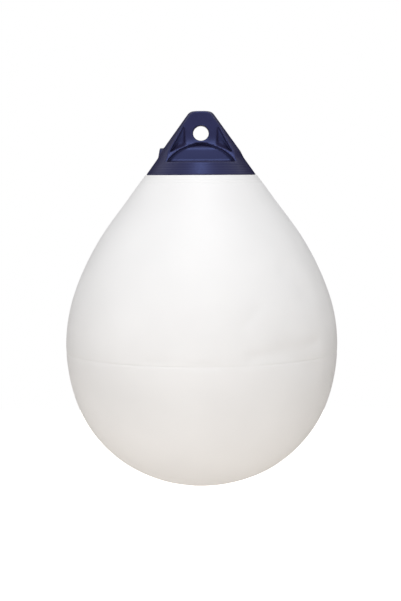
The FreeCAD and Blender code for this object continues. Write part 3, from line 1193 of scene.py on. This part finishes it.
    def cutter(
        self, name: str, front: Sequence[Corner], core: Sequence[Corner]
    ) -> bpy.types.Object:
        """A block cut in from both faces, less the core that stays between them.

        Args:
            name: The tool's name.
            front: Its outline from the front.
            core: The core's outline from the side.

        Returns:
            The tool.
        """
        tool = Pen(name, Plane.FRONT, front[0][:2])
        tool.outline(front[1:], self.chord)
        block = tool.prism(self.beyond)
        kept = Pen(name + "_core", Plane.SIDE, core[0][:2])
        kept.outline(core[1:], self.chord)
        work(block, kept.prism(self.beyond * 2), Cut.TAKE_AWAY)
        return block

    def scoop(self) -> bpy.types.Object:
        """The hollow between the ribs, down to the boss's flat face and its flare.

        Returns:
            The tool.
        """
        run = slope_of(self.flare_tilt)
        lean = slope_of(self.face_tilt)
        flare_z = (self.flare_y(0.0) - self.face_y(0.0)) / (run - lean)
        above_tab = 60.0
        below_meet = -self.flare_meet - 2 * self.overlap
        front = mirrored(
            [
                (self.rib_x(self.scoop_top), self.scoop_top),
                (self.rib_x(-self.flare_meet), -self.flare_meet),
            ]
        )
        core = mirrored(
            [
                (self.face_y(above_tab), above_tab),
                (self.face_y(flare_z), flare_z, self.flare_radius),
                (self.flare_y(below_meet), below_meet),
            ]
        )
        return self.cutter("scoop", front, core)

    def arch(self) -> bpy.types.Object:
        """The mouth under the eye, cut back to the web that joins the two faces.

        Returns:
            The tool.
        """
        front = [
            self.arch_start(),
            (self.haunch_x, self.haunch_z, self.haunch_round),
            (self.arch_foot_x, self.ledge_z),
            (-self.arch_foot_x, self.ledge_z),
            (-self.haunch_x, self.haunch_z, self.haunch_round),
            (0.0, self.peak_z, self.arch_crown),
        ]
        rise = (self.web_knee[0] - self.web_at_arch) / (self.crown_z - self.web_knee[1])
        above = 3 * self.overlap
        core = mirrored(
            [
                (self.web_at_arch - rise * above, self.crown_z + above),
                self.web_knee,
                (self.web_foot, self.ledge_z, self.web_cove),
                (self.beyond, self.ledge_z),
                (self.beyond, self.ledge_z - self.overlap),
            ]
        )
        return self.cutter("arch", front, core)

    def arch_start(self) -> Point:
        """Where the arch's round crown runs into its right-hand slope.

        Returns:
            The point, from the front.
        """
        rise = math.radians(self.arch_rise)
        center_z = self.crown_z - self.arch_crown
        return self.arch_crown * math.sin(rise), center_z + self.arch_crown * math.cos(rise)

    def recesses(self) -> bpy.types.Object:
        """The two deep pockets between the boss and the ribs, one each side.

        Returns:
            The tool.
        """
        rise = slope_of(self.arch_rise)
        rim = self.rim_wall / math.cos(math.radians(self.arch_rise))
        head_z = (self.rib_line_at_eye - self.boss_half_width) / self.rib_line_slope
        right = [
            (self.boss_half_width, head_z),
            (self.boss_half_width, self.peak_z - rise * self.boss_half_width + rim),
            (self.haunch_x, self.haunch_z + rim),
            (self.rib_x(-self.recess_foot), -self.recess_foot),
        ]
        core = mirrored(
            [
                (self.recess_y(self.tab_top), self.tab_top),
                (self.recess_y(self.ledge_z), self.ledge_z),
            ]
        )
        both = self.cutter("recess_right", right, core)
        left = self.cutter("recess_left", [(-x, z) for x, z in right], core)
        for tool in (both, left):
            self.round_lower_wall(tool)
        pick(both)
        left.select_set(True)
        bpy.ops.object.join()
        return both

    def round_lower_wall(self, tool: bpy.types.Object) -> None:
        """Rounds the edge between a recess's floor and its lower wall with a cove.

        Args:
            tool: The tool of one recess.
        """
        near, lower_part = 0.05, -15.0

        def on_floor_edge(spot: Vector) -> bool:
            """True on the floor plane, below the boss's corner.

            Args:
                spot: The place in millimetres.

            Returns:
                Whether the place is there.
            """
            on_floor = abs(abs(spot.y) - self.recess_y(spot.z)) < near
            inside = abs(spot.x) > self.boss_half_width - near
            return on_floor and inside and spot.z < lower_part

        if select_where(tool, on_floor_edge):
            bpy.ops.mesh.select_mode(type="EDGE")
            bpy.ops.mesh.bevel(offset=self.recess_cove * MM, segments=self.cove_steps, profile=0.5)
        object_mode()

    def eye(self) -> bpy.types.Object:
        """The rope eye's bore, a little flatter than round.

        Returns:
            The tool.
        """
        end = Vector((0, self.beyond / 2, 0))
        bore = drum("eye", self.eye_radius, -end, end, self.eye_sides)
        pick(bore)
        bpy.ops.transform.resize(value=(1.0, 1.0, self.eye_flatness))
        bpy.ops.object.transform_apply(location=True, rotation=True, scale=True)
        return bore

    def add_valve_seat(self, piece: bpy.types.Object) -> None:
        """Adds the valve's boss on the left flank with its leaning face and its bore.

        Args:
            piece: The rope hold.
        """
        z = -self.valve_drop
        lean = slope_of(self.valve_face_lean)
        root = Vector((-self.valve_root_x, 0, z))
        outside = Vector((-self.valve_clear_x, 0, z))
        boss = drum("boss", self.valve_boss_radius, root, outside, self.boss_sides)
        clear = 3 * self.valve_boss_radius
        behind = Pen("behind", Plane.FRONT, (0.0, z + clear))
        behind.outline(
            [
                (-self.valve_face_x + lean * clear, z + clear),
                (-self.valve_face_x - lean * clear, z - clear),
                (0.0, z - clear),
            ],
            self.chord,
        )
        work(boss, behind.prism(self.beyond), Cut.KEEP_COMMON)
        work(piece, boss, Cut.ADD)
        end_x = self.valve_face_x - self.insert_inset - self.insert_length - self.chamber_length
        end = Vector((-end_x, 0, z))
        bore = drum("bore", self.valve_bore_radius, end, outside, self.bore_sides)
        work(piece, bore, Cut.TAKE_AWAY)

    def soften(self, piece: bpy.types.Object) -> None:
        """Rebuilds the surface as an even fine mesh and rounds every edge as the mould does.

        Args:
            piece: The rope hold.
        """
        finish_modifier(
            piece,
            "REMESH",
            mode="VOXEL",
            voxel_size=self.voxel * MM,
            adaptivity=0.0,
            use_smooth_shade=True,
        )
        smooth(piece, self.smoothing)
        smooth(piece, self.recess_smoothing, self.share_of_recess)
        smooth(piece, self.rim_smoothing, self.share_of_eye_rim)
        piece.vertex_groups.clear()
        pick(piece)
        bpy.ops.object.shade_smooth()

    def share_of_recess(self, spot: Vector) -> float:
        """One in the recesses and over the boss's side edges, fading at the rib and the arch's rim.

        Args:
            spot: The place in millimetres.

        Returns:
            The share.
        """
        fade, head_fade = 3.0, 4.0
        over_boss, under_floor, off_arch = 4.0, 4.0, 1.0
        x = abs(spot.x)
        rise = slope_of(self.arch_rise)
        from_rib = (self.rib_x(spot.z) - x) / fade
        from_boss = (x - self.boss_half_width + over_boss) / fade
        from_arch = (spot.z - self.peak_z + rise * x - off_arch) / fade
        from_head = (self.scoop_top - spot.z) / head_fade
        if abs(spot.y) < self.recess_at_eye - under_floor:
            return 0.0
        return min(1.0, from_rib, from_boss, from_arch, from_head)

    def share_of_eye_rim(self, spot: Vector) -> float:
        """One at the edges of the rope eye, where the mould rounds them for the rope.

        Args:
            spot: The place in millimetres.

        Returns:
            The share, zero or less away from the edges.
        """
        width, depth, fade = 4.0, 5.0, 2.0
        away = math.hypot(spot.x, spot.z) - self.eye_radius
        inside = self.face_y(spot.z) - abs(spot.y)
        return min(1.0, (width - abs(away)) / fade, (depth - inside) / fade)


@dataclass
class Valve:
    """The air valve's three pieces, whose solids are shown as they are."""

    finishes: dict[str, Finish] = field(
        default_factory=lambda: {
            "valve_insert": BLACK_NYLON,
            "valve_screw": PALE_ACETAL,
            "valve_seal": NITRILE,
        }
    )

    def dress(self) -> list[bpy.types.Object]:
        """Gives each piece its finish.

        Returns:
            The pieces.
        """
        pieces = [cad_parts[name] for name in self.finishes]
        for piece, finish in zip(pieces, self.finishes.values()):
            finish.put_on(piece)
        return pieces


# Scene


@dataclass(frozen=True)
class Lamp:
    """A round soft lamp that faces the ball's middle, placed by its bearing and height angle."""

    name: str
    azimuth: float
    elevation: float
    distance: float
    size: float
    power: float
    in_gloss: bool = True

    def add(self, aim: Vector) -> None:
        """Adds the lamp.

        Args:
            aim: The point that it faces, in millimetres.
        """
        turn = math.radians(self.azimuth)
        rise = math.radians(self.elevation)
        flat = math.cos(rise)
        outward = Vector((math.sin(turn) * flat, -math.cos(turn) * flat, math.sin(rise)))
        data = bpy.data.lights.new(self.name, "AREA")
        data.shape = "DISK"
        data.size = self.size * MM
        data.energy = self.power
        lamp = bpy.data.objects.new(self.name, data)
        lamp.location = (aim + outward * self.distance) * MM
        lamp.rotation_euler = (-outward).to_track_quat("-Z", "Y").to_euler()
        lamp.visible_camera = False
        lamp.visible_glossy = self.in_gloss
        bpy.context.collection.objects.link(lamp)


@dataclass(frozen=True)
class Flag:
    """A black studio card beside and behind the object, which only its gloss shows.

    It gives pale edges their outline, as such cards do in a product studio.
    """

    name: str
    azimuth: float
    distance: float
    width: float
    height: float

    def add(self, aim: Vector) -> None:
        """Adds the card, upright and facing the object.

        Args:
            aim: The point that its middle faces, in millimetres.
        """
        turn = math.radians(self.azimuth)
        outward = Vector((math.sin(turn), -math.cos(turn), 0))
        clear_selection()
        bpy.ops.mesh.primitive_plane_add(
            size=MM,
            location=(aim + outward * self.distance) * MM,
            rotation=outward.to_track_quat("Z", "Y").to_euler(),
        )
        card = bpy.context.object
        card.name = self.name
        card.scale = (self.width, self.height, 1.0)
        bpy.ops.object.transform_apply(location=True, rotation=True, scale=True)
        material = blank_material(self.name)
        tree = material.node_tree
        cloth = add_node(tree, "ShaderNodeBsdfDiffuse", inputs={"Color": linear(BLACK)})
        add_node(tree, "ShaderNodeOutputMaterial", inputs={"Surface": cloth})
        card.data.materials.append(material)
        card.visible_camera = False
        card.visible_diffuse = False
        card.visible_transmission = False
        card.visible_shadow = False


@dataclass(frozen=True)
class Studio:
    """Camera, lamps, cards, floor and background.

    The floor's glow grows from the first to the second value of floor_fill between the two
    distances of shadow_ends, which are from the eye.
    """

    focal_px: float = 1440.0
    frame_px: tuple[int, int] = (401, 601)
    sensor_width: float = 36.0
    distance: float = 2291.0
    height: float = -65.4
    pitch: float = 4.98
    roll: float = -0.25
    axis_px: float = 201.6
    floor_z: float = -1180.0
    floor_size: float = 9000.0
    floor_colour: str = "#F3EBE1"
    floor_fill: tuple[float, float] = (0.27, 1.0)
    shadow_ends: tuple[float, float] = (700.0, 1500.0)
    world_light: float = 0.57
    aim: tuple[float, float, float] = (0.0, 0.0, -280.0)
    lamps: tuple[Lamp, ...] = (
        Lamp("overhead", 0.0, 70.0, 3100.0, 700.0, 32.0),
        Lamp("front", -8.0, -5.0, 3100.0, 1600.0, 24.5),
        Lamp("back", 180.0, 0.0, 3100.0, 1600.0, 14.0, in_gloss=False),
    )
    flags: tuple[Flag, ...] = (
        Flag("flag_right", 138.0, 1500.0, 2200.0, 2400.0),
        Flag("flag_left", -150.0, 1500.0, 1100.0, 2400.0),
    )

    def build(self) -> None:
        """Sets up everything that isn't the object."""
        self.add_camera()
        for lamp in self.lamps:
            lamp.add(Vector(self.aim))
        for flag in self.flags:
            flag.add(Vector(self.aim))
        self.add_floor()
        self.add_world()
        bpy.context.scene.view_settings.view_transform = "Standard"

    def add_camera(self) -> None:
        """Places the camera at the photograph's viewing angle."""
        data = bpy.data.cameras.new("camera")
        data.sensor_width = self.sensor_width
        data.lens = self.focal_px / self.frame_px[1] * self.sensor_width
        camera = bpy.data.objects.new("camera", data)
        aside = (self.frame_px[0] / 2 - self.axis_px) * self.distance / self.focal_px
        camera.location = Vector((aside, -self.distance, self.height)) * MM
        lean = Matrix.Rotation(math.radians(90 - self.pitch), 3, "X")
        turn = Matrix.Rotation(math.radians(self.roll), 3, "Z")
        camera.rotation_euler = (lean @ turn).to_euler()
        bpy.context.collection.objects.link(camera)
        bpy.context.scene.camera = camera

    def add_floor(self) -> None:
        """Adds the plain pale floor, well below the hanging ball.

        It glows towards the camera alone, and the camera sees through it from below.
        """
        clear_selection()
        bpy.ops.mesh.primitive_plane_add(
            size=self.floor_size * MM, location=(0, 0, self.floor_z * MM)
        )
        floor = bpy.context.object
        floor.name = "floor"
        bpy.ops.object.transform_apply(location=True, rotation=True, scale=True)
        material = blank_material("pale_floor")
        tree = material.node_tree
        seen = add_node(tree, "ShaderNodeLightPath").outputs["Is Camera Ray"]
        where = add_node(tree, "ShaderNodeTexCoord").outputs["Object"]
        away = add_node(tree, "ShaderNodeVectorMath", {"operation": "LENGTH"}, {0: where})
        fill = add_node(
            tree,
            "ShaderNodeMapRange",
            inputs={
                "Value": away.outputs["Value"],
                "From Min": self.shadow_ends[0] * MM,
                "From Max": self.shadow_ends[1] * MM,
                "To Min": self.floor_fill[0],
                "To Max": self.floor_fill[1],
            },
        )
        shine = add_node(tree, "ShaderNodeMath", {"operation": "MULTIPLY"}, {0: fill, 1: seen})
        paint = add_node(
            tree, "ShaderNodeBsdfDiffuse", inputs={"Color": linear(self.floor_colour)}
        )
        glow = add_node(
            tree, "ShaderNodeEmission", inputs={"Color": linear(WHITE), "Strength": shine}
        )
        both = add_node(tree, "ShaderNodeAddShader", inputs={0: paint, 1: glow})
        under = add_node(tree, "ShaderNodeNewGeometry").outputs["Backfacing"]
        hidden = add_node(tree, "ShaderNodeMath", {"operation": "MULTIPLY"}, {0: under, 1: seen})
        clear = add_node(tree, "ShaderNodeBsdfTransparent")
        surface = add_node(tree, "ShaderNodeMixShader", inputs={0: hidden, 1: both, 2: clear})
        add_node(tree, "ShaderNodeOutputMaterial", inputs={"Surface": surface})
        floor.data.materials.append(material)

    def add_world(self) -> None:
        """Lights the scene evenly, and shows white to the camera, the gloss and clear things."""
        world = bpy.data.worlds.new("studio")
        bpy.context.scene.world = world
        world.use_nodes = True
        tree = world.node_tree
        tree.nodes.clear()
        path = add_node(tree, "ShaderNodeLightPath").outputs
        seen = path["Is Camera Ray"]
        for ray in ("Is Glossy Ray", "Is Transmission Ray"):
            seen = add_node(
                tree, "ShaderNodeMath", {"operation": "MAXIMUM"}, {0: seen, 1: path[ray]}
            )
        light, white = (
            add_node(
                tree, "ShaderNodeBackground", inputs={"Color": linear(WHITE), "Strength": strength}
            )
            for strength in (self.world_light, 1.0)
        )
        mixed = add_node(tree, "ShaderNodeMixShader", inputs={0: seen, 1: light, 2: white})
        add_node(tree, "ShaderNodeOutputWorld", inputs={"Surface": mixed})


def report(piece: bpy.types.Object) -> None:
    """Logs a piece's name and how fine its mesh is."""
    log.info("%s: %d faces", piece.name, len(piece.data.polygons))


def main() -> None:
    """Builds the pieces in order."""
    logging.basicConfig(level=logging.INFO, format="%(name)s %(message)s")
    ball = Ball().build()
    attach(ball, "root")
    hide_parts("ball_body")
    report(ball)

    hold = RopeHold().build()
    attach(hold, "root")
    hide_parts("rope_hold")
    report(hold)

    for piece in Valve().dress():
        report(piece)

    Studio().build()


if __name__ == "__main__":
    main()
